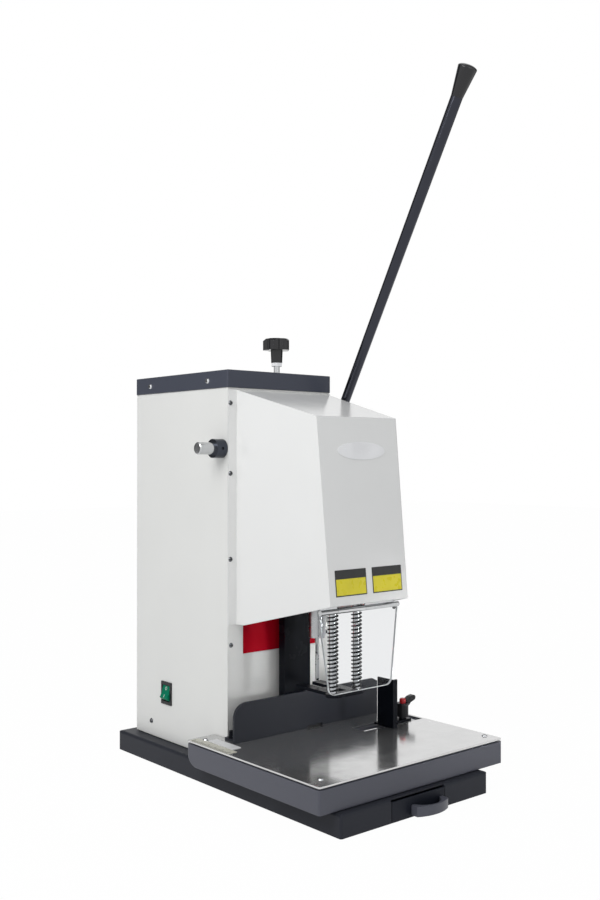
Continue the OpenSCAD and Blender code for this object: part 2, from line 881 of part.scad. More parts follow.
module lever_hub() {
  x0 = 73;
  x1 = 86;
  color("#b9bbbe") difference() {
    union() {
      rod_x(x0, x1, shaft_y, shaft_z, 30);
      on_lever((x0 + x1) / 2) cylinder(h = 26, d = 11);
    }
    rod_x(x0 - 1, 84, shaft_y, shaft_z, shaft_d);
    on_lever((x0 + x1) / 2) translate([0, 0, 20]) cylinder(h = 7, d = 8);
  }
}

// the rod and the grip meet at this diameter
grip_d0 = 15.6;

module lever_rod() {
  color("#c6c8ca") on_lever(79.5) {
    translate([0, 0, 20]) cylinder(h = 7, d = 8);
    translate([0, 0, 26]) cylinder(h = lever_len - 26, d1 = 12.7, d2 = grip_d0);
  }
}

// tapered grip with a low crown
module lever_grip() {
  cone_h = 36;
  grip_d1 = 25.1;
  crown = 4.6;
  color("#17181a") on_lever(79.5) translate([0, 0, lever_len]) {
    cylinder(h = cone_h, d1 = grip_d0, d2 = grip_d1);
    translate([0, 0, cone_h]) rotate_extrude() intersection() {
      scale([1, 2 * crown / grip_d1]) circle(d = grip_d1);
      square(grip_d1);
    }
  }
}

// involute of the base circle: angle of a point at radius r
function inv(a) = tan(a) * 180 / PI - a;
function flank(r) = tooth_half / pitch_r * 180 / PI + inv(pressure_angle) - inv(acos(min(1, base_r / r)));
flank_steps = 4;
flank_r = [for (i = [0 : flank_steps]) base_r + 0.05 + (tip_r - base_r - 0.05) * i / flank_steps];
tooth_pts = concat(
  [[root_r, -flank(flank_r[0])]],
  [for (r = flank_r) [r, -flank(r)]],
  [for (i = [flank_steps : -1 : 0]) [flank_r[i], flank(flank_r[i])]],
  [[root_r, flank(flank_r[0])]]
);

module pinion() {
  step = 360 / pinion_teeth;
  first = 180 - first_gap + step / 2;
  color("#9a9c9f") along_x(gear_x0, gear_x1) translate([shaft_y, shaft_z]) difference() {
    polygon([for (k = [0 : pinion_teeth - 1], p = tooth_pts)
      p[0] * [cos(first + k * step + p[1]), sin(first + k * step + p[1])]]);
    circle(d = shaft_d);
    for (a = [0 : 60 : 300]) {
      rotate(a) translate([24, 0]) circle(7);
    }
  }
}

module rack() {
  add = gear_m;
  ded = 1.25 * gear_m;
  half_tip = tooth_half - add * tan(pressure_angle);
  half_root = tooth_half + ded * tan(pressure_angle);
  back_y = rack_y - ded - 5;
  bottom_z = 290;
  color("#9a9c9f") along_x(gear_x0, gear_x1) intersection() {
    union() {
      translate([back_y, bottom_z]) square([rack_y - ded - back_y, rack_trim_z - 1.4 - bottom_z]);
      for (k = [0 : rack_teeth - 1]) {
        z = rack_top_tooth - k * tooth_pitch;
        polygon([[rack_y - ded - 0.01, z - half_root], [rack_y + add, z - half_tip],
                 [rack_y + add, z + half_tip], [rack_y - ded - 0.01, z + half_root]]);
      }
    }
    translate([back_y - 1, bottom_z - 1]) square([60, rack_trim_z - bottom_z + 1]);
  }
}

// ---- head ----

module carriage() {
  block_x0 = column_x0 - 10;
  block_x1 = 23.9;
  lip_y1 = -3;
  color("#3a3c41") difference() {
    union() {
      slab(block_x0, block_x1, -36, lip_y1, carriage_z0, carriage_z1);
      slab(head_x - 20, head_x + 20, -62, -36, carriage_z0, carriage_z1);
      rod_z(head_x, -spindle_y, housing_z0, carriage_z1, housing_d);
      slab(head_x - 29, head_x + 29, -125, -62, bar_z0, bar_z1);
      slab(head_x, gear_x1, -50, rack_y - 1.25 * gear_m - 5, 292, 328);
    }
    slab(column_x0 - fit, column_x1 + fit, column_y0 - fit, column_y1 + fit,
         carriage_z0 - 1, carriage_z1 + 1);
    slab(-18, 8, column_y1 - 1, lip_y1 + 1, carriage_z0 - 1, carriage_z1 + 1);
    rod_z(head_x, -spindle_y, carriage_z0 - 1, carriage_z1 + 1, bearing_d);
    for (x = post_x) {
      rod_z(x, post_y, bar_z0 - 1, bar_z1 + 1, post_d + 2 * fit);
    }
  }
}

module spindle_bearings() {
  color("#a9abae") for (z = [housing_z0 + 2, carriage_z1 - 2 - bearing_t]) {
    difference() {
      rod_z(head_x, -spindle_y, z, z + bearing_t, bearing_d);
      rod_z(head_x, -spindle_y, z - 1, z + bearing_t + 1, spindle_d + 2 * fit);
    }
  }
}

module spindle() {
  color("#b9bbbe") rod_z(head_x, -spindle_y, chuck_z1, spindle_top, spindle_d);
}

module chuck() {
  color("#a9abae") difference() {
    rod_z(head_x, -spindle_y, chuck_z0, chuck_z1, chuck_d);
    rod_z(head_x, -spindle_y, chuck_z0 - 1, chuck_z0 + 12, bit_d);
  }
}

// hollow bit with a chip window in its side
module drill_bit() {
  bore = bit_d - 1.6;
  color("#c9cbcd") translate([head_x, -spindle_y, 0]) difference() {
    union() {
      translate([0, 0, bit_tip_z]) cylinder(h = 3, d1 = bit_d - 1, d2 = bit_d);
      translate([0, 0, bit_tip_z + 3]) cylinder(h = chuck_z0 + 12 - bit_tip_z - 3, d = bit_d);
    }
    translate([0, 0, bit_tip_z - 1]) cylinder(h = 50, d = bore);
    translate([-bit_d, -bore / 2, bit_tip_z + 34]) cube([bit_d, bore, 14]);
  }
}

module press_foot() {
  half = 22;
  color("#2c2e33") difference() {
    translate([0, 0, foot_z]) linear_extrude(foot_t) difference() {
      union() {
        translate([head_x - half, -126]) square([2 * half, 82]);
        for (x = post_x) {
          translate([x, post_y]) circle(9.3);
        }
      }
      translate([head_x - 7, -80 + 7]) square([14, 60]);
      translate([head_x, -80 + 7]) circle(7);
      translate([head_x - 7, -112]) square([14, 15]);
    }
    for (x = post_x) {
      rod_z(x, post_y, foot_z - 1, foot_z + foot_t + 1, post_d);
    }
  }
}

module guide_posts() {
  color("#c2c4c7") for (x = post_x) {
    rod_z(x, post_y, foot_z, bar_z1 + 34, post_d);
  }
}

module post_nuts() {
  color("#8d9094") for (x = post_x) {
    difference() {
      rod_z(x, post_y, bar_z1, bar_z1 + 6, 17.3, $fn = 6);
      rod_z(x, post_y, bar_z1 - 1, bar_z1 + 7, post_d);
    }
  }
}

// open coil spring as one swept tube
coil_sides = 6;
coil_segments = 10;
coil_turns = 24;
coil_rings = floor(coil_turns * coil_segments);
coil_r = (spring_d - wire_d) / 2;
coil_z0 = foot_z + foot_t + wire_d / 2;
coil_z1 = bar_z0 - wire_d / 2;
function coil_point(i, j) =
  let (
    a = 360 * i / coil_segments,
    b = 360 * j / coil_sides,
    r = coil_r + wire_d / 2 * cos(b)
  )
  [r * cos(a), r * sin(a), coil_z0 + (coil_z1 - coil_z0) * i / coil_rings + wire_d / 2 * sin(b)];

module coil() {
  last = coil_rings * coil_sides;
  polyhedron(
    points = [for (i = [0 : coil_rings], j = [0 : coil_sides - 1]) coil_point(i, j)],
    faces = concat(
      [[for (j = [coil_sides - 1 : -1 : 0]) j]],
      [for (i = [0 : coil_rings - 1], j = [0 : coil_sides - 1])
        [i * coil_sides + j, i * coil_sides + (j + 1) % coil_sides,
         (i + 1) * coil_sides + (j + 1) % coil_sides, (i + 1) * coil_sides + j]],
      [[for (j = [0 : coil_sides - 1]) last + j]]
    ),
    convexity = 10
  );
}

module spring_left() {
  color("#55585c") translate([post_x[0], post_y, 0]) coil();
}

module spring_right() {
  color("#55585c") translate([post_x[1], post_y, 0]) coil();
}

// ---- drive ----

module motor() {
  color("#6d7075") translate([head_x, motor_y, 0]) difference() {
    union() {
      translate([0, 0, 220]) cylinder(h = 30, d1 = 90, d2 = 104);
      translate([0, 0, 250]) cylinder(h = 105, d = 104);
      translate([0, 0, 355]) cylinder(h = 25, d1 = 104, d2 = 80);
    }
    translate([0, 0, 340]) cylinder(h = 50, d = spindle_d + 2 * fit);
  }
}

module motor_bracket() {
  color("#8d9094") difference() {
    union() {
      slab(head_x - 50, head_x + 50, 3.5, 176, 380, 384);
      slab(head_x - 50, head_x + 50, 3.5, 6.5, 340, 380);
    }
    rod_z(head_x, motor_y, 379, 385, 24);
  }
}

// flat-belt pulley between two low flanges, standing on the belt's level
module pulley() {
  flange = 2;
  translate([0, 0, pulley_z0]) cylinder(h = pulley_z1 - pulley_z0, r = groove_r);
  for (z = [pulley_z0, pulley_z1 - flange]) {
    translate([0, 0, z]) cylinder(h = flange, r = groove_r + 2);
  }
}

module motor_pulley() {
  color("#a9abae") translate([head_x, motor_y, 0]) {
    pulley();
    translate([0, 0, 345]) cylinder(h = pulley_z1 + 4 - 345, d = spindle_d);
  }
}

module spindle_pulley() {
  color("#a9abae") translate([head_x, -spindle_y, 0]) difference() {
    union() {
      pulley();
      translate([0, 0, pulley_z1]) cylinder(h = 10, d = 20);
    }
    translate([0, 0, pulley_z0 - 1]) cylinder(h = 30, d = spindle_d + 2 * fit);
  }
}

module pulley_bracket() {
  z0 = pulley_z1 + gap;
  color("#3a3c41") difference() {
    union() {
      slab(head_x - 22, head_x + 22, -spindle_y, column_y0, z0, z0 + 8);
      rod_z(head_x, -spindle_y, z0, z0 + 8, 40);
      slab(head_x - 22, head_x + 22, column_y0 - 4, column_y0, z0, z0 + 40);
    }
    rod_z(head_x, -spindle_y, z0 - 1, z0 + 9, 20 + 2 * fit);
  }
}

// flat belt around both pulleys
module belt_plan(r) {
  translate([head_x - r, -spindle_y]) square([2 * r, motor_y + spindle_y]);
  for (y = [-spindle_y, motor_y]) {
    translate([head_x, y]) circle(r);
  }
}

module drive_belt() {
  r = groove_r + gap;
  color("#1c1d20") translate([0, 0, pulley_z0 + 2.5]) linear_extrude(9) difference() {
    belt_plan(r + belt_t);
    belt_plan(r);
  }
}

base_pan();
base_mat();
chip_drawer();
drawer_pull();
table_skirt();
table_top();
table_screws();
scale_plate();
fence();
fence_screws();
side_guide();
guide_slide();
clamp_stud();
clamp_hub();
clamp_arm();
clamp_button();
cabinet_shell();
front_panel();
rear_panel();
back_plate();
cabinet_screws();
cap();
cap_screws();
switch_bezel();
switch_rocker();
power_inlet();
depth_knob();
knob_stud();
knob_nut();
column();
column_blocks();
hood();
hood_screws();
guard();
guard_rod();
guard_brackets();
feed_shaft();
shaft_bushes();
shaft_collar();
lever_hub();
lever_rod();
lever_grip();
pinion();
rack();
carriage();
spindle_bearings();
spindle();
chuck();
drill_bit();
press_foot();
guide_posts();
post_nuts();
spring_left();
spring_right();
motor();
motor_bracket();
motor_pulley();
spindle_pulley();
pulley_bracket();
drive_belt();
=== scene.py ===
"""Looks of the bench paper drill: materials, small fittings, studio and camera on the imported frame."""

import math

import bmesh
import bpy
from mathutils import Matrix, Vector


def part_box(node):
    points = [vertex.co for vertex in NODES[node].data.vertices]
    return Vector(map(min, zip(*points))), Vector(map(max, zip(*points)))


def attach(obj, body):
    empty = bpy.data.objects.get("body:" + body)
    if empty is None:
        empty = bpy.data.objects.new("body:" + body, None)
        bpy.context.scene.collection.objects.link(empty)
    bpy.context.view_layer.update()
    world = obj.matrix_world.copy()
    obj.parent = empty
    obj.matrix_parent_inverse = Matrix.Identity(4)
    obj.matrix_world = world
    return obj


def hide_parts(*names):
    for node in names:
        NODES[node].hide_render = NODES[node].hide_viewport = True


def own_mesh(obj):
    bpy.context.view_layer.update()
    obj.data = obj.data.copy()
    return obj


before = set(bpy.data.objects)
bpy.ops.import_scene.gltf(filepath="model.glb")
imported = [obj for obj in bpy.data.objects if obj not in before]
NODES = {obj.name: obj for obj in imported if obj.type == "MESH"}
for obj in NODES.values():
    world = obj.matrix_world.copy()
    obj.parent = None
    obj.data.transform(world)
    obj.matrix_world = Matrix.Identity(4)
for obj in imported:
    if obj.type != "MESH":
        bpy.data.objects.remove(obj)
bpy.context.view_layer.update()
MM = 0.001

# ---- camera, from the perspective fit to the photograph ----
CAMERA_AT = (-0.91186, -1.09136, 0.42283)
CAMERA_LOOKS = (0.64851, 0.76115, 0.00933)
CAMERA_LENS = 41.52

# ---- paints and metals, linear colour ----
DARK_PAINT = (0.082, 0.085, 0.106)
# the base has the table skirt's dark paint, made darker here as painted shade from the table above it
BASE_PAINT_WITH_PAINTED_SHADE = (0.026, 0.028, 0.036)
DRAWER_PAINT = (0.012, 0.014, 0.021)
FENCE_PAINT = (0.022, 0.024, 0.032)
CAP_PAINT = (0.050, 0.056, 0.078)
WHITE_PAINT = (0.76, 0.76, 0.74)
HOOD_PAINT = (0.80, 0.80, 0.79)
RED_PAINT = (0.50, 0.002, 0.014)
BLACK_PAINT = (0.004, 0.005, 0.008)
BLACK_PLASTIC = (0.016, 0.016, 0.018)
PLATE_YELLOW = (0.74, 0.64, 0.015)

# front of the guard's clear sheet
SHEET_FRONT = -132.5 * MM


# ---- node materials ----


def set_range(node, start, end, low, high):
    """Sets a Map Range node to take start..end to low..high."""
    for socket, number in (("From Min", start), ("From Max", end), ("To Min", low), ("To Max", high)):
        node.inputs[socket].default_value = number


class Shader:
    """A principled material with short calls for the nodes that feed it."""

    def __init__(self, name, color, rough, metallic=0.0):
        self.mat = bpy.data.materials.new(name)
        self.mat.use_nodes = True
        self.tree = self.mat.node_tree
        self.bsdf = self.tree.nodes["Principled BSDF"]
        self.color = color
        self.rough = rough
        self.set("Base Color", (*color, 1))
        self.set("Roughness", rough)
        self.set("Metallic", metallic)
        self.coords = self.add("ShaderNodeTexCoord").outputs["Object"]
        self.normal = None

    def add(self, kind, **props):
        node = self.tree.nodes.new(kind)
        for key, value in props.items():
            setattr(node, key, value)
        return node

    def link(self, source, target):
        self.tree.links.new(source, target)

    def set(self, socket, value):
        self.bsdf.inputs[socket].default_value = value

    def noise(self, scale, detail=2.0, stretch=(1, 1, 1)):
        """A noise value over the object, scale in features per metre."""
        mapping = self.add("ShaderNodeMapping")
        mapping.inputs["Scale"].default_value = stretch
        self.link(self.coords, mapping.inputs["Vector"])
        node = self.add("ShaderNodeTexNoise")
        node.inputs["Scale"].default_value = scale
        node.inputs["Detail"].default_value = detail
        self.link(mapping.outputs["Vector"], node.inputs["Vector"])
        return node.outputs["Fac"]

    def ramp(self, value, low, high, start=0.3, end=0.7):
        """Maps value from start..end to low..high."""
        node = self.add("ShaderNodeMapRange")
        set_range(node, start, end, low, high)
        self.link(value, node.inputs["Value"])
        return node.outputs["Result"]

    def math(self, operation, a, b):
        node = self.add("ShaderNodeMath", operation=operation, use_clamp=True)
        for socket, value in zip(node.inputs, (a, b)):
            if isinstance(value, (int, float)):
                socket.default_value = value
            else:
                self.link(value, socket)
        return node.outputs[0]

    def tint(self, mask, color):
        """Mixes the base colour towards color where mask is 1."""
        mix = self.add("ShaderNodeMix", data_type="RGBA")
        current = self.bsdf.inputs["Base Color"]
        if current.is_linked:
            self.link(current.links[0].from_socket, mix.inputs[6])
        else:
            mix.inputs[6].default_value = current.default_value
        mix.inputs[7].default_value = (*color, 1)
        self.link(mask, mix.inputs[0])
        self.link(mix.outputs[2], current)

    def soft_edges(self, radius):
        """Rounds sharp edges in the shading, and returns a mask that is 1 along them."""
        bevel = self.add("ShaderNodeBevel", samples=6)
        bevel.inputs["Radius"].default_value = radius
        self.normal = bevel.outputs["Normal"]
        self.link(self.normal, self.bsdf.inputs["Normal"])
        geometry = self.add("ShaderNodeNewGeometry")
        dot = self.add("ShaderNodeVectorMath", operation="DOT_PRODUCT")
        self.link(self.normal, dot.inputs[0])
        self.link(geometry.outputs["Normal"], dot.inputs[1])
        return self.ramp(dot.outputs["Value"], 1.0, 0.0, 0.80, 0.97)

    def bump(self, height, distance, strength=1.0):
        node = self.add("ShaderNodeBump")
        node.inputs["Strength"].default_value = strength
        node.inputs["Distance"].default_value = distance
        self.link(height, node.inputs["Height"])
        if self.normal is not None:
            self.link(self.normal, node.inputs["Normal"])
        self.normal = node.outputs["Normal"]
        self.link(self.normal, self.bsdf.inputs["Normal"])

    def vary_rough(self, value, spread):
        low, high = max(0.02, self.rough - spread), self.rough + spread
        self.link(self.ramp(value, low, high), self.bsdf.inputs["Roughness"])


def powder_coat(name, color, rough, edge=1.2 * MM, wear=0.25, coat=0.0, shine=0.5):
    """Baked paint: fine orange peel, faint mottling, and edges rubbed a little lighter."""
    s = Shader(name, color, rough)
    edges = s.soft_edges(edge)
    s.tint(s.ramp(s.noise(9.0), 0.0, 0.35), [c * 0.93 for c in color])
    rubbed = s.math("MULTIPLY", edges, s.ramp(s.noise(160.0, 3.0), 0.0, wear, 0.35, 0.75))
    s.tint(rubbed, [min(1.0, c * 1.5 + 0.05) for c in color])
    s.vary_rough(s.noise(30.0, 3.0), 0.02)
    s.bump(s.noise(1500.0), 0.03 * MM, 0.35)
    s.set("Coat Weight", coat)
    s.set("Coat Roughness", 0.12)
    s.set("Specular IOR Level", shine)
    return s.mat


def brushed_metal(name, color, rough, along, spread=0.06, dirt=0.15, metallic=1.0):
    """Metal with fine lines along one direction, smudges and soft edges."""
    s = Shader(name, color, rough, metallic=metallic)
    s.soft_edges(0.4 * MM)
    stretch = [0.02 if a else 1.0 for a in along]
    grain = s.noise(900.0, 3.0, stretch)
    s.tint(s.ramp(grain, 0.0, 0.25), [c * 0.8 for c in color])
    s.tint(s.ramp(s.noise(24.0, 4.0), 0.0, dirt, 0.4, 0.8), [c * 0.55 for c in color])
    s.vary_rough(s.noise(60.0, 4.0), spread)
    s.bump(grain, 0.02 * MM, 0.25)
    return s.mat


def turned_metal(name, color, rough):
    """Turned steel: faint tool marks and cloudy smudges."""
    s = Shader(name, color, rough, metallic=1.0)
    s.soft_edges(0.4 * MM)
    s.tint(s.ramp(s.noise(55.0, 4.0), 0.0, 0.3, 0.35, 0.8), [c * 0.7 for c in color])
    s.vary_rough(s.noise(90.0, 3.0), 0.06)
    s.bump(s.noise(700.0, 2.0), 0.02 * MM, 0.25)
    return s.mat


def plastic(name, color, rough, grain=2200.0, height=0.05 * MM, edge=0.6 * MM, shine=0.5):
    """Moulded plastic with a fine grain, and a painted highlight that lightens its sharp edges."""
    s = Shader(name, color, rough)
    edges = s.soft_edges(edge)
    # painted highlight: sharp edges are tinted a little lighter
    s.tint(s.math("MULTIPLY", edges, 0.25), [c * 1.6 + 0.02 for c in color])
    s.tint(s.ramp(s.noise(40.0), 0.0, 0.4), [c * 0.8 for c in color])
    s.vary_rough(s.noise(120.0, 3.0), 0.06)
    s.bump(s.noise(grain), height, 0.4)
    s.set("Specular IOR Level", shine)
    return s.mat


def rocker_green():
    """Translucent green lens of the rocker, with a faint painted glow."""
    s = Shader("rocker_green", (0.004, 0.19, 0.105), 0.22)
    s.soft_edges(0.5 * MM)
    s.tint(s.ramp(s.noise(90.0), 0.0, 0.6), (0.003, 0.12, 0.065))
    s.vary_rough(s.noise(200.0), 0.04)
    s.bump(s.noise(600.0), 0.02 * MM, 0.2)
    s.set("Specular IOR Level", 0.05)
    # painted glow: a faint emission stands in for light through the lens
    s.set("Emission Color", (0.0, 0.30, 0.14, 1))
    s.set("Emission Strength", 0.05)
    return s.mat


def clear_sheet():
    """Clear plastic sheet with gloss and faint scratches; the barrel in front of it is steel."""
    s = Shader("clear_sheet", (0.62, 0.63, 0.64), 0.12)
    tree = s.tree
    s.vary_rough(s.noise(35.0, 4.0), 0.03)
    s.bump(s.noise(500.0, 2.0, (1, 1, 0.05)), 0.01 * MM, 0.15)
    parts = s.add("ShaderNodeSeparateXYZ")
    s.link(s.coords, parts.inputs[0])
    barrel = s.math("LESS_THAN", parts.outputs["Y"], SHEET_FRONT - 0.1 * MM)
    s.link(barrel, s.bsdf.inputs["Metallic"])
    through = s.add("ShaderNodeBsdfTransparent")
    through.inputs["Color"].default_value = (0.92, 0.925, 0.93, 1)
    fresnel = s.add("ShaderNodeFresnel")
    fresnel.inputs["IOR"].default_value = 1.35
    mix = s.add("ShaderNodeMixShader")
    # rays pass unbent, so the far side would wrongly mirror them all at a flat angle
    geometry = s.add("ShaderNodeNewGeometry")
    near_side = s.math("SUBTRACT", 1.0, geometry.outputs["Backfacing"])
    sheen = s.math("MULTIPLY", fresnel.outputs["Fac"], near_side)
    s.link(s.math("ADD", sheen, barrel), mix.inputs[0])
    s.link(through.outputs["BSDF"], mix.inputs[1])
    s.link(s.bsdf.outputs["BSDF"], mix.inputs[2])
    output = next(n for n in tree.nodes if n.type == "OUTPUT_MATERIAL")
    s.link(mix.outputs["Shader"], output.inputs["Surface"])
    return s.mat


def cast_paint(name, color):
    """Paint over a rough casting."""
    s = Shader(name, color, 0.5)
    s.soft_edges(1.0 * MM)
    s.tint(s.ramp(s.noise(30.0, 4.0), 0.0, 0.5), [c * 0.7 for c in color])
    s.vary_rough(s.noise(60.0), 0.1)
    s.bump(s.noise(400.0, 4.0), 0.2 * MM, 0.5)
    return s.mat


def rubber_and_shade(name):
    """Matt black rubber; it also serves as painted shade in the fence's notch."""
    s = Shader(name, (0.018, 0.018, 0.020), 0.75)
    s.tint(s.ramp(s.noise(50.0, 3.0), 0.0, 0.5), (0.032, 0.032, 0.034))
    s.vary_rough(s.noise(150.0), 0.08)
    s.bump(s.noise(900.0), 0.05 * MM, 0.5)
    return s.mat


def print_ink(name, color, rough, edge):
    """A smooth printed or lacquered surface."""
    return plastic(name, color, rough, grain=600.0, height=0.01 * MM, edge=edge)


MATERIALS = {
    "dark": powder_coat("dark_powder_coat", DARK_PAINT, 0.34, edge=1.6 * MM, shine=0.3),
    # painted shade: the base takes its dark paint darkened, for the shade under the table
    "base": powder_coat("base_powder_coat_with_painted_shade", BASE_PAINT_WITH_PAINTED_SHADE, 0.42, edge=1.8 * MM, shine=0.12),
    "drawer": powder_coat("drawer_powder_coat", DRAWER_PAINT, 0.42, shine=0.12),
    "fence": powder_coat("fence_powder_coat", FENCE_PAINT, 0.34, shine=0.2),
    "cap": powder_coat("cap_powder_coat", CAP_PAINT, 0.36, edge=1.8 * MM, wear=0.5, shine=0.3),
    "white": powder_coat("white_powder_coat", WHITE_PAINT, 0.42, wear=0.0),
    "hood": powder_coat("hood_gloss_paint", HOOD_PAINT, 0.20, edge=1.8 * MM, wear=0.0, coat=0.15),
    "red": powder_coat("red_paint", RED_PAINT, 0.45, wear=0.05, shine=0.04),
    "black": powder_coat("black_paint", BLACK_PAINT, 0.26, edge=0.8 * MM, wear=0.06, shine=0.08),
    "table": brushed_metal(
        "polished_sheet", (0.66, 0.66, 0.66), 0.15, (1, 0, 0), spread=0.03, dirt=0.2, metallic=0.88
    ),
    "bright": turned_metal("bright_steel", (0.56, 0.57, 0.58), 0.16),
    "lever": turned_metal("dark_chrome", (0.048, 0.050, 0.062), 0.16),
    "plain": turned_metal("plain_steel", (0.42, 0.43, 0.44), 0.30),
    "collar": turned_metal("blued_collar", (0.060, 0.066, 0.082), 0.20),
    "screw": turned_metal("zinc_screw", (0.66, 0.67, 0.69), 0.20),
    "dark_screw": turned_metal("dark_screw", (0.13, 0.135, 0.145), 0.24),
    "spring": turned_metal("spring_wire", (0.014, 0.015, 0.018), 0.26),
    "gear": brushed_metal("cut_gear_steel", (0.30, 0.31, 0.32), 0.32, along=(0, 1, 0)),
    "bronze": turned_metal("sintered_bronze", (0.42, 0.25, 0.10), 0.42),
    "alloy": turned_metal("turned_alloy", (0.58, 0.59, 0.60), 0.30),
    "iron": cast_paint("motor_paint", (0.10, 0.11, 0.12)),
    "plastic": plastic("black_plastic", BLACK_PLASTIC, 0.24, shine=0.2),
    "grip": plastic("grip_plastic", (0.008, 0.008, 0.010), 0.13, grain=900.0, height=0.02 * MM),
    "button": plastic("button_red", (0.60, 0.012, 0.02), 0.30),
    "yellow": print_ink("plate_yellow", PLATE_YELLOW, 0.30, 0.2 * MM),
    "badge": print_ink("badge_lacquer", (0.88, 0.88, 0.89), 0.22, 0.5 * MM),
    "scale": print_ink("scale_white", (0.74, 0.74, 0.75), 0.40, 0.2 * MM),
    "cream": print_ink("ruler_cream", (0.55, 0.54, 0.46), 0.40, 0.2 * MM),
    # black print, and also painted shade in the screws' recesses
    "black_ink_and_shade": print_ink("black_ink_and_painted_shade", (0.012, 0.012, 0.012), 0.45, 0.1 * MM),
    "mark": print_ink("white_mark", (0.75, 0.80, 0.77), 0.35, 0.1 * MM),
    # painted highlight: the light colour of the clear sheet's rim strip
    "edge": plastic("painted_rim_highlight", (0.80, 0.82, 0.83), 0.25, grain=400.0, height=0.01 * MM, edge=0.3 * MM),
    "rubber_and_shade": rubber_and_shade("sheet_rubber_and_painted_shade"),
    "rocker": rocker_green(),
    "clear": clear_sheet(),
}

NODE_MATERIAL = {
    "dark": ["table_skirt", "drawer_pull", "carriage", "pulley_bracket"],
    "base": ["base_pan"],
    "drawer": ["chip_drawer"],
    "fence": ["fence"],
    "cap": ["cap"],
    "white": ["cabinet_shell", "front_panel", "rear_panel"],
    "hood": ["hood"],
    "red": ["back_plate"],
    "black": ["side_guide", "fence_screws", "column", "column_blocks", "press_foot"],
    "table": ["table_top"],
    "bright": ["knob_stud", "guard_rod", "guard_brackets", "feed_shaft", "guide_posts"],
    "lever": ["lever_rod"],
    "plain": [
        "chuck", "drill_bit", "spindle", "guide_slide", "clamp_stud",
        "lever_hub", "spindle_bearings", "motor_bracket",
    ],
    "collar": ["shaft_collar"],
    "screw": ["table_screws", "cap_screws", "knob_nut", "post_nuts"],
    "dark_screw": ["cabinet_screws", "hood_screws"],
    "spring": ["spring_left", "spring_right"],
    "gear": ["pinion", "rack"],
    "bronze": ["shaft_bushes"],
    "alloy": ["motor_pulley", "spindle_pulley"],
    "iron": ["motor"],
    "plastic": ["clamp_hub", "clamp_arm", "switch_bezel", "power_inlet"],
    "grip": ["lever_grip", "depth_knob"],
    "button": ["clamp_button"],
    "scale": ["scale_plate"],
    "rubber_and_shade": ["base_mat", "drive_belt"],
    "rocker": ["switch_rocker"],
    "clear": ["guard"],
}


def paint_nodes():
    """Gives every CAD node its material."""
    for key, names in NODE_MATERIAL.items():
        for name in names:
            for slot in NODES[name].material_slots:
                slot.material = MATERIALS[key]


# ---- mesh helpers ----


def piece(name, verts, faces, material, body, smooth=False, bevel=0.0):
    """A mesh that rides on a CAD body and takes one material from MATERIALS."""
    mesh = bpy.data.meshes.new(name)
    mesh.from_pydata([tuple(v) for v in verts], [], faces)
    mesh.update()
    fixed = bmesh.new()
    fixed.from_mesh(mesh)
    bmesh.ops.recalc_face_normals(fixed, faces=fixed.faces)
    fixed.to_mesh(mesh)
    fixed.free()
    mesh.polygons.foreach_set("use_smooth", [smooth] * len(mesh.polygons))
    obj = bpy.data.objects.new(name, mesh)
    bpy.context.collection.objects.link(obj)
    mesh.materials.append(MATERIALS[material])
    if bevel:
        modifier = obj.modifiers.new("bevel", "BEVEL")
        modifier.width = bevel
        modifier.segments = 3
        modifier.limit_method = "ANGLE"
    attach(obj, body)
    return obj


def prism(outline, place, thickness):
    """Verts and faces of an outline pulled by thickness; place maps (u, v, w) to a point."""
    n = len(outline)
    verts = [place(u, v, 0.0) for u, v in outline] + [place(u, v, thickness) for u, v in outline]
    faces = [list(range(n)), list(range(2 * n - 1, n - 1, -1))]
    faces += [[i, (i + 1) % n, n + (i + 1) % n, n + i] for i in range(n)]
    return verts, faces


def ellipse(width, height, steps=48):
    return [
        (width / 2 * math.cos(2 * math.pi * i / steps), height / 2 * math.sin(2 * math.pi * i / steps))
        for i in range(steps)
    ]


def round_box(width, height, radius, steps=5):
    """Outline of a rectangle with round corners, centred on 0."""
    points = []
    for quarter, (sx, sy) in enumerate(((1, 1), (-1, 1), (-1, -1), (1, -1))):
        cx, cy = sx * (width / 2 - radius), sy * (height / 2 - radius)
        for i in range(steps + 1):
            a = math.pi / 2 * (quarter + i / steps)
            points.append((cx + radius * math.cos(a), cy + radius * math.sin(a)))
    return points


def islands(node):
    """Lowest and highest corner of each separate solid in a CAD node."""
    source = bmesh.new()
    source.from_mesh(NODES[node].data)
    bmesh.ops.remove_doubles(source, verts=source.verts, dist=1e-6)
    left = set(source.verts)
    found = []
    while left:
        stack = [left.pop()]
        group = list(stack)
        while stack:
            for edge in stack.pop().link_edges:
                for vert in edge.verts:
                    if vert in left:
                        left.remove(vert)
                        stack.append(vert)
                        group.append(vert)
        points = [v.co for v in group]
        low = Vector([min(p[i] for p in points) for i in range(3)])
        high = Vector([max(p[i] for p in points) for i in range(3)])
        found.append((low, high))
    source.free()
    return found


# ---- small fittings ----

# a cross, drawn as painted shade in a screw's recess, in thirds of its arm
CROSS = [(-1, -3), (1, -3), (1, -1), (3, -1), (3, 1), (1, 1)]
CROSS += [(-u, -v) for u, v in CROSS]


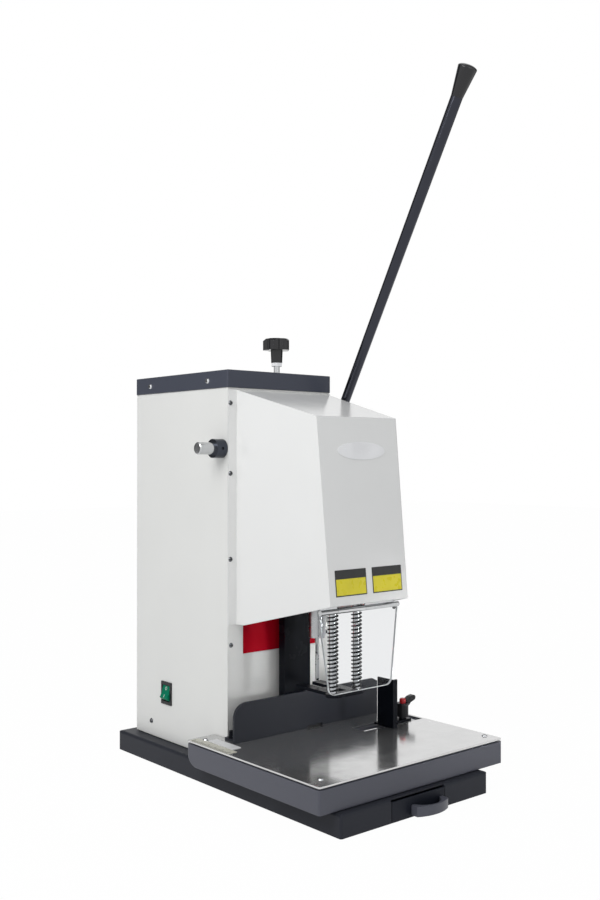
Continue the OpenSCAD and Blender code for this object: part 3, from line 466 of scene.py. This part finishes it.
def screw_recess_shades(node, body, arm):
    """A dark cross on each head of a node, painted shade for its recess, on the face away from the object's
    middle.
    """
    for index, (low, high) in enumerate(islands(node)):
        size = high - low
        axis = min(range(3), key=lambda i: size[i])
        centre = (low + high) / 2
        outward = -1 if axis < 2 and centre[axis] < MID_CABINET_Y * (axis == 1) else 1
        face = centre.copy()
        face[axis] = high[axis] if outward > 0 else low[axis]
        u, v = [Vector([float(i == k) for i in range(3)]) for k in range(3) if k != axis]
        w = Vector([float(i == axis) * outward for i in range(3)])

        def place(a, b, c):
            return face + u * a * arm / 3 + v * b * arm / 3 + w * (c - 0.3 * MM)

        verts, faces = prism(CROSS, place, 0.34 * MM)
        piece(f"{node}_recess_{index}", verts, faces, "black_ink_and_shade", body)


# where the cabinet's screws stop facing the front and start facing the rear
MID_CABINET_Y = 90 * MM

# the hood's front face: brow and lip lines in Y and Z
BROW = Vector((0, -139.3 * MM, 476.5 * MM))
LIP = Vector((0, -161.5 * MM, 244.5 * MM))
FACE_UP = (BROW - LIP).normalized()
FACE_OUT = Vector((0, -FACE_UP.z, FACE_UP.y)).normalized()


def on_hood(x, z):
    """A mapping from plate coordinates to the hood's front face around (x, z)."""
    start = LIP + (BROW - LIP) * ((z - LIP.z) / (BROW.z - LIP.z))

    def place(u, v, w):
        return start + Vector((x + u, 0, 0)) + FACE_UP * v + FACE_OUT * (w - 0.02 * MM)

    return place


PLATE_X = {"left": -34.9 * MM, "right": 27.8 * MM}
PLATE_Z = 271.7 * MM
PLATE_SIZE = (52.3 * MM, 32.4 * MM)
FIELD_SIZE = (49.5 * MM, 19.8 * MM)
FIELD_DROP = 4.9 * MM
BADGE_AT = (-2.5 * MM, 434 * MM)
BADGE_SIZE = (82 * MM, 23 * MM)


def blank_plates():
    """The hood's plates, bare: two yellow fields under a black band, and an oval badge."""
    for side, x in PLATE_X.items():
        place = on_hood(x, PLATE_Z)
        verts, faces = prism(round_box(*PLATE_SIZE, 0.8 * MM), place, 0.35 * MM)
        piece(f"plate_rim_{side}", verts, faces, "black_ink_and_shade", "frame")
        field = [(u, v - FIELD_DROP) for u, v in round_box(*FIELD_SIZE, 0.4 * MM)]
        verts, faces = prism(field, place, 0.5 * MM)
        piece(f"plate_face_{side}", verts, faces, "yellow", "frame")
    verts, faces = prism(ellipse(*BADGE_SIZE), on_hood(*BADGE_AT), 0.9 * MM)
    piece("badge", verts, faces, "badge", "frame", bevel=0.3 * MM)


# the rocker's face in X and Z from its pivot: from the crease up to the top, and down
ROCKER_PIVOT_X = -102.75 * MM
ROCKER_CREASE = Vector((-6.2, 0, 0)) * MM
ROCKER_TOP = Vector((-3.0, 0, 12.0)) * MM
ROCKER_FOOT = Vector((-9.6, 0, -6.0)) * MM


def rocker_marks():
    """O and I on the rocker's face."""
    low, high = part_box("switch_rocker")
    y, mid_z = (low[1] + high[1]) / 2, (low[2] + high[2]) / 2
    upper, lower = (ROCKER_CREASE, ROCKER_TOP), (ROCKER_CREASE, ROCKER_FOOT)
    for name, (start, end), share in (("mark_o", upper, 0.56), ("mark_i", lower, 0.55)):
        along = (end - start).normalized()
        if along.z < 0:
            along = -along
        out = Vector((-along.z, 0, along.x))
        centre = Vector((ROCKER_PIVOT_X, y, mid_z)) + start + (end - start) * share

        def place(a, b, c):
            return centre + Vector((0, a, 0)) + along * b + out * c

        if name == "mark_o":
            n = 24
            rings = ellipse(4.2 * MM, 4.8 * MM, n), ellipse(2.8 * MM, 3.4 * MM, n)
            verts = [place(a, b, w * MM) for w in (-0.05, 0.06) for ring in rings for a, b in ring]
            faces = []
            for i in range(n):
                j = (i + 1) % n
                faces += [[i, j, n + j, n + i], [2 * n + i, 2 * n + j, 3 * n + j, 3 * n + i]]
                faces += [[i, j, 2 * n + j, 2 * n + i], [n + i, n + j, 3 * n + j, 3 * n + i]]
        else:
            u, v = 0.45 * MM, 2.2 * MM
            bar = [(-u, -v), (u, -v), (u, v), (-u, v)]
            verts, faces = prism(bar, place, 0.06 * MM)
        piece(name, verts, faces, "mark", "rocker")


def coil_spring(node):
    """A smooth helix in the place of a CAD spring."""
    turns, wire, sides, per_turn = 24, 1.8 * MM, 12, 28
    low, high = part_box(node)
    centre = (Vector(low) + Vector(high)) / 2
    radius = (high[0] - low[0]) / 2 - wire / 2
    bottom, top = low[2] + wire / 2, high[2] - wire / 2
    rings = int(turns * per_turn)
    climb = (top - bottom) / rings
    slope = math.atan2(climb * per_turn, 2 * math.pi * radius)
    verts = []
    for i in range(rings + 1):
        a = 2 * math.pi * i / per_turn
        out = Vector((math.cos(a), math.sin(a), 0))
        lean = math.sin(slope)
        side = Vector((math.sin(a) * lean, -math.cos(a) * lean, math.cos(slope)))
        middle = Vector((centre.x, centre.y, bottom + climb * i)) + out * radius
        for j in range(sides):
            b = 2 * math.pi * j / sides
            verts.append(middle + (out * math.cos(b) + side * math.sin(b)) * wire / 2)
    faces = [
        [i * sides + j, i * sides + (j + 1) % sides, (i + 1) * sides + (j + 1) % sides, (i + 1) * sides + j]
        for i in range(rings)
        for j in range(sides)
    ]
    faces += [list(range(sides)), [rings * sides + j for j in range(sides)]]
    spring = piece(f"{node}_coil", verts, faces, "spring", "head", smooth=True)
    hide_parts(node)
    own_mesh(spring)


# the guard's outline: lower corners, upper corners and corner radius
GUARD_X = (-48 * MM, 63.5 * MM)
GUARD_UPPER_X = (-65 * MM, 74.5 * MM)
GUARD_Z = (129 * MM, 235.9 * MM)
GUARD_RADIUS = 10 * MM
GUARD_THICK = 2.5 * MM


def guard_rim_highlights():
    """A painted highlight on the clear sheet's polished rim: a light strip a hair proud of its outline."""
    lift, depth, steps = 0.1 * MM, 0.5 * MM, 8
    turn_z = GUARD_Z[0] + GUARD_RADIUS
    path = [Vector((GUARD_UPPER_X[0], 0, GUARD_Z[1])), Vector((GUARD_X[0], 0, turn_z))]
    corners = (GUARD_X[0] + GUARD_RADIUS, math.pi), (GUARD_X[1] - GUARD_RADIUS, 1.5 * math.pi)
    for cx, start in corners:
        for i in range(steps + 1):
            a = start + math.pi / 2 * i / steps
            x, z = cx + GUARD_RADIUS * math.cos(a), turn_z + GUARD_RADIUS * math.sin(a)
            path.append(Vector((x, 0, z)))
    path.append(Vector((GUARD_UPPER_X[1], 0, GUARD_Z[1])))
    front, back = SHEET_FRONT - lift, SHEET_FRONT + GUARD_THICK + lift
    centre = Vector((sum(GUARD_X) / 2, 0, sum(GUARD_Z) / 2))
    verts, faces = [], []
    for p in path:
        inner = p + (centre - p).normalized() * depth
        verts += [Vector((q.x, y, q.z)) for q in (p, inner) for y in (front, back)]
    for i in range(len(path) - 1):
        a, b = 4 * i, 4 * i + 4
        faces += [[a, a + 1, b + 1, b], [a + 2, a + 3, b + 3, b + 2]]
        faces += [[a, a + 2, b + 2, b], [a + 1, a + 3, b + 3, b + 1]]
    faces += [[0, 1, 3, 2], [4 * len(path) - 4 + k for k in (0, 1, 3, 2)]]
    piece("guard_rim_highlight", verts, faces, "edge", "shield")


STUD_X, STUD_Z = 66 * MM, 229.6 * MM


def guard_stud():
    """The dark round stud below the hinge's right end."""

    def place(u, v, w):
        return Vector((STUD_X + u, SHEET_FRONT - w, STUD_Z + v))

    verts, faces = prism(ellipse(5 * MM, 5 * MM, 24), place, 2.6 * MM)
    piece("guard_stud", verts, faces, "black_ink_and_shade", "shield", bevel=0.8 * MM)


STRIP_X = (7.2 * MM, 33.8 * MM)
STRIP_Y = (-24.9 * MM, -22.4 * MM)


def notch_shade_strip():
    """A black strip in the notch at the fence's foot, as painted shade for the dark gap seen there."""
    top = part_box("table_top")[1][2]
    (x0, x1), (y0, y1) = STRIP_X, STRIP_Y
    box = [(x0, y0), (x1, y0), (x1, y1), (x0, y1)]

    def place(u, v, w):
        return Vector((u, v, top + w + 0.05 * MM))

    verts, faces = prism(box, place, 2.8 * MM)
    # painted shade: the black strip stands in for the dark gap behind the notch
    piece("notch_shade_strip", verts, faces, "rubber_and_shade", "fence_bar")


def table_scale():
    """The cream ruler on the table's left wing, with ticks towards the edge."""
    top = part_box("table_top")[1][2]
    x0, x1 = -149.4 * MM, -134.2 * MM
    y0, y1 = -60 * MM, 24 * MM
    pitch, tick_w, inset = 3 * MM, 1.0 * MM, 0.5 * MM
    middle = Vector(((x0 + x1) / 2, (y0 + y1) / 2, top))

    def place(u, v, w):
        return middle + Vector((u, v, w))

    verts, faces = prism(round_box(x1 - x0, y1 - y0, 2.5 * MM), place, 0.12 * MM)
    piece("ruler", verts, faces, "cream", "frame")
    verts, faces = [], []
    for i in range(int((y1 - y0 - 6 * MM) / pitch) + 1):
        length = (8 if i % 5 == 0 else 5) * MM
        y = y1 - 3 * MM - i * pitch
        near, far = x0 + inset, x0 + inset + length
        box = [(near, y), (far, y), (far, y - tick_w), (near, y - tick_w)]
        base = len(verts)
        verts += [(x, yy, top + 0.15 * MM) for x, yy in box]
        faces.append([base, base + 1, base + 2, base + 3])
    piece("table_ticks", verts, faces, "black_ink_and_shade", "frame")


# ---- studio ----

SKY_SIDE = 0.62
SKY_TOP = 0.42
# dark flags at the rear left and at the right, shown only in gloss: direction, and how dark
FLAGS = ((-0.259, 0.966), (0.996, -0.087))
FLAG_SHADE = 0.12


def lamp(name, at, size, energy, target=(0, -0.05, 0.35), spread=180):
    """A square soft lamp turned towards target."""
    data = bpy.data.lights.new(name, "AREA")
    data.energy = energy
    data.size = size
    data.spread = math.radians(spread)
    obj = bpy.data.objects.new(name, data)
    bpy.context.collection.objects.link(obj)
    obj.location = at
    aim = Vector(target) - Vector(at)
    obj.rotation_euler = aim.to_track_quat("-Z", "Y").to_euler()


def seen_directly(tree):
    """A socket that is 1 for camera, glossy and transmission rays."""
    rays = tree.nodes.new("ShaderNodeLightPath")
    value = rays.outputs["Is Camera Ray"]
    for kind in ("Is Glossy Ray", "Is Transmission Ray"):
        either = tree.nodes.new("ShaderNodeMath")
        either.operation = "MAXIMUM"
        tree.links.new(value, either.inputs[0])
        tree.links.new(rays.outputs[kind], either.inputs[1])
        value = either.outputs[0]
    return value


def flags_in_gloss(tree, direction, background):
    """Dims a background in two upright bands, for glossy rays alone, so round steel shows its shape."""

    def math_node(operation, a, b):
        node = tree.nodes.new("ShaderNodeMath")
        node.operation = operation
        for socket, value in zip(node.inputs, (a, b)):
            if isinstance(value, float):
                socket.default_value = value
            else:
                tree.links.new(value, socket)
        return node.outputs[0]

    flat = tree.nodes.new("ShaderNodeVectorMath")
    flat.operation = "MULTIPLY"
    flat.inputs[1].default_value = (1, 1, 0)
    level = tree.nodes.new("ShaderNodeVectorMath")
    level.operation = "NORMALIZE"
    tree.links.new(direction, flat.inputs[0])
    tree.links.new(flat.outputs["Vector"], level.inputs[0])
    covered = None
    for x, y in FLAGS:
        dot = tree.nodes.new("ShaderNodeVectorMath")
        dot.operation = "DOT_PRODUCT"
        dot.inputs[1].default_value = (x, y, 0)
        tree.links.new(level.outputs["Vector"], dot.inputs[0])
        band = tree.nodes.new("ShaderNodeMapRange")
        band.interpolation_type = "SMOOTHSTEP"
        set_range(band, 0.86, 0.95, 0.0, 1.0)
        tree.links.new(dot.outputs["Value"], band.inputs["Value"])
        dark = band.outputs["Result"]
        covered = dark if covered is None else math_node("MAXIMUM", covered, dark)
    rays = tree.nodes.new("ShaderNodeLightPath")
    share = math_node("MULTIPLY", covered, rays.outputs["Is Glossy Ray"])
    dimmed = math_node("SUBTRACT", 1.0, math_node("MULTIPLY", share, 1.0 - FLAG_SHADE))
    tree.links.new(dimmed, background.inputs["Strength"])


def studio():
    """White world, pale floor that keeps a faint shadow, and three lamps."""
    scene = bpy.context.scene
    scene.view_settings.view_transform = "Standard"
    world = bpy.data.worlds.new("studio")
    scene.world = world
    world.use_nodes = True
    tree = world.node_tree
    tree.nodes.clear()
    white = seen_directly(tree)
    seen = tree.nodes.new("ShaderNodeBackground")
    seen.inputs["Color"].default_value = (1, 1, 1, 1)
    light = tree.nodes.new("ShaderNodeBackground")
    light.inputs["Color"].default_value = (0.96, 0.98, 1.0, 1)
    # the sky is dimmer overhead than at the sides
    sky = tree.nodes.new("ShaderNodeTexCoord")
    height = tree.nodes.new("ShaderNodeSeparateXYZ")
    fall = tree.nodes.new("ShaderNodeMapRange")
    set_range(fall, 0.0, 1.0, SKY_SIDE, SKY_TOP)
    tree.links.new(sky.outputs["Generated"], height.inputs[0])
    tree.links.new(height.outputs["Z"], fall.inputs["Value"])
    tree.links.new(fall.outputs["Result"], light.inputs["Strength"])
    flags_in_gloss(tree, sky.outputs["Generated"], seen)
    mix = tree.nodes.new("ShaderNodeMixShader")
    output = tree.nodes.new("ShaderNodeOutputWorld")
    tree.links.new(white, mix.inputs[0])
    tree.links.new(light.outputs[0], mix.inputs[1])
    tree.links.new(seen.outputs[0], mix.inputs[2])
    tree.links.new(mix.outputs[0], output.inputs["Surface"])

    bpy.ops.mesh.primitive_plane_add(size=14, location=(0, 0, 0))
    floor = bpy.context.object
    floor.name = "floor"
    mat = bpy.data.materials.new("pale_floor")
    mat.use_nodes = True
    nodes, links = mat.node_tree.nodes, mat.node_tree.links
    diffuse = nodes["Principled BSDF"]
    diffuse.inputs["Base Color"].default_value = (0.86, 0.86, 0.86, 1)
    diffuse.inputs["Roughness"].default_value = 0.6
    glow = nodes.new("ShaderNodeEmission")
    glow.inputs["Color"].default_value = (1, 1, 1, 1)
    blend = nodes.new("ShaderNodeMixShader")
    share = nodes.new("ShaderNodeMath")
    share.operation = "MULTIPLY"
    share.inputs[1].default_value = 0.985
    links.new(seen_directly(mat.node_tree), share.inputs[0])
    links.new(share.outputs[0], blend.inputs[0])
    links.new(diffuse.outputs[0], blend.inputs[1])
    links.new(glow.outputs[0], blend.inputs[2])
    links.new(blend.outputs[0], nodes["Material Output"].inputs["Surface"])
    floor.data.materials.append(mat)

    lamp("key", (-1.2, -0.25, 1.25), 0.8, 11, target=(-0.1, 0.1, 0.35))
    lamp("under_hood", (0.35, -0.90, 0.13), 0.15, 0.05, target=(0.035, 0, 0.16), spread=16)
    lamp("front", (-0.2, -2.2, 1.5), 1.2, 6)


def camera():
    """The photograph's viewpoint."""
    data = bpy.data.cameras.new("camera")
    data.lens = CAMERA_LENS
    data.sensor_width = 36
    obj = bpy.data.objects.new("camera", data)
    bpy.context.collection.objects.link(obj)
    obj.location = CAMERA_AT
    obj.rotation_euler = Vector(CAMERA_LOOKS).to_track_quat("-Z", "Y").to_euler()
    bpy.context.scene.camera = obj


paint_nodes()
blank_plates()
rocker_marks()
for spring_node in ("spring_left", "spring_right"):
    coil_spring(spring_node)
guard_rim_highlights()
guard_stud()
notch_shade_strip()
table_scale()
RECESS_ARMS = {"table_screws": 2.0, "cabinet_screws": 1.8, "hood_screws": 1.8, "cap_screws": 2.1}
for screw_node, arm_length in RECESS_ARMS.items():
    screw_recess_shades(screw_node, "frame", arm_length * MM)
studio()
camera()
